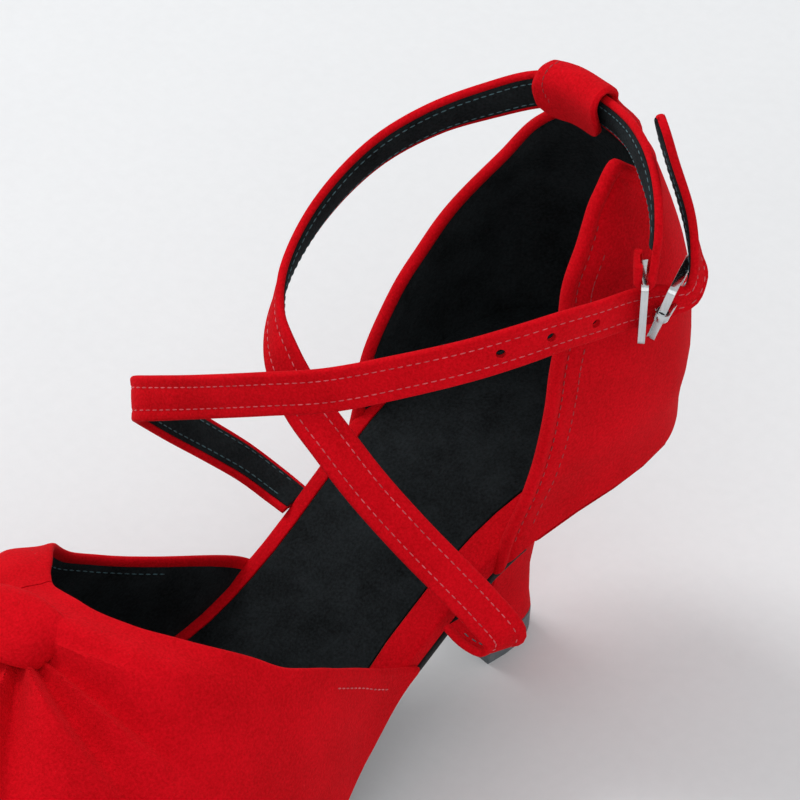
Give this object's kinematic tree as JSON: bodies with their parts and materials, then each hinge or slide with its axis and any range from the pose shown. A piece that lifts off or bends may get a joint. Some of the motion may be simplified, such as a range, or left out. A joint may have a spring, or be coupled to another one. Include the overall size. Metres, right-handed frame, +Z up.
{
  "type": "heeled dance sandal",
  "caption": "Left open-waist heeled sandal with draped peep-toe vamp, closed heel cup, crossing ankle straps, small buckle and slim flared heel.",
  "frame": {"origin": "on the ground, at the centre of the bounding box", "axes": "+Z up, +Y towards the heel, -Y towards the toe, +X towards the outer (buckle) side"},
  "size_m": [0.08, 0.2084, 0.1316],
  "materials": {
    "red_suede": "matte",
    "black_suede": "matte",
    "insole_fibreboard": "matte",
    "counter_board": "matte",
    "packing": "matte",
    "spring_steel": "satin",
    "plated_metal": "polished",
    "steel_fixing": "satin",
    "heel_plastic": "matte",
    "sole_suede": "matte",
    "top_piece_rubber": "matte"
  },
  "bodies": {
    "sandal": {"sock_lining": "black_suede", "insole_board": "insole_fibreboard", "steel_shank": "spring_steel", "heel_seat_packing": "packing", "forefoot_filler": "packing", "outsole": "sole_suede", "waist_wrap_lateral": "red_suede", "waist_wrap_medial": "red_suede", "quarter_outer": "red_suede", "counter_stiffener": "counter_board", "quarter_lining": "black_suede", "strap_tunnel_tab": "red_suede", "heel_block": "heel_plastic", "heel_cover": "red_suede", "heel_breast_cover": "black_suede", "top_piece": "top_piece_rubber", "top_piece_pin": "steel_fixing", "heel_screw": "steel_fixing", "vamp_lateral_drape": "red_suede", "vamp_medial_drape": "red_suede", "vamp_lining_lateral": "black_suede", "vamp_lining_medial": "black_suede", "vamp_knot_band": "red_suede", "strap_rear_outer": "red_suede", "strap_rear_lining": "black_suede", "strap_front_outer": "red_suede", "strap_front_lining": "black_suede", "heel_nail_1": "steel_fixing", "heel_nail_2": "steel_fixing", "heel_nail_3": "steel_fixing", "heel_nail_4": "steel_fixing"},
    "hook_ring": {"buckle_hook_ring": "plated_metal"},
    "buckle": {"buckle_frame": "plated_metal"},
    "prong": {"buckle_prong": "plated_metal"}
  },
  "joints": [
    {"name": "hook_ring_swing", "type": "hinge", "parent": "sandal", "child": "hook_ring", "pos_m": [0.03054, 0.07269, 0.10325], "axis": [0.745, -0.667, 0], "range_deg": [-8, 2]},
    {"name": "buckle_frame_tilt", "type": "hinge", "parent": "sandal", "child": "buckle", "pos_m": [0.03085, 0.07722, 0.09107], "axis": [0.4872, -0.8733, 0], "range_deg": [-2, 2]},
    {"name": "prong_lift", "type": "hinge", "parent": "buckle", "child": "prong", "pos_m": [0.0348, 0.0734, 0.0966], "axis": [0.2407, 0.1343, 0.9613], "range_deg": [-1, 2]}
  ]
}
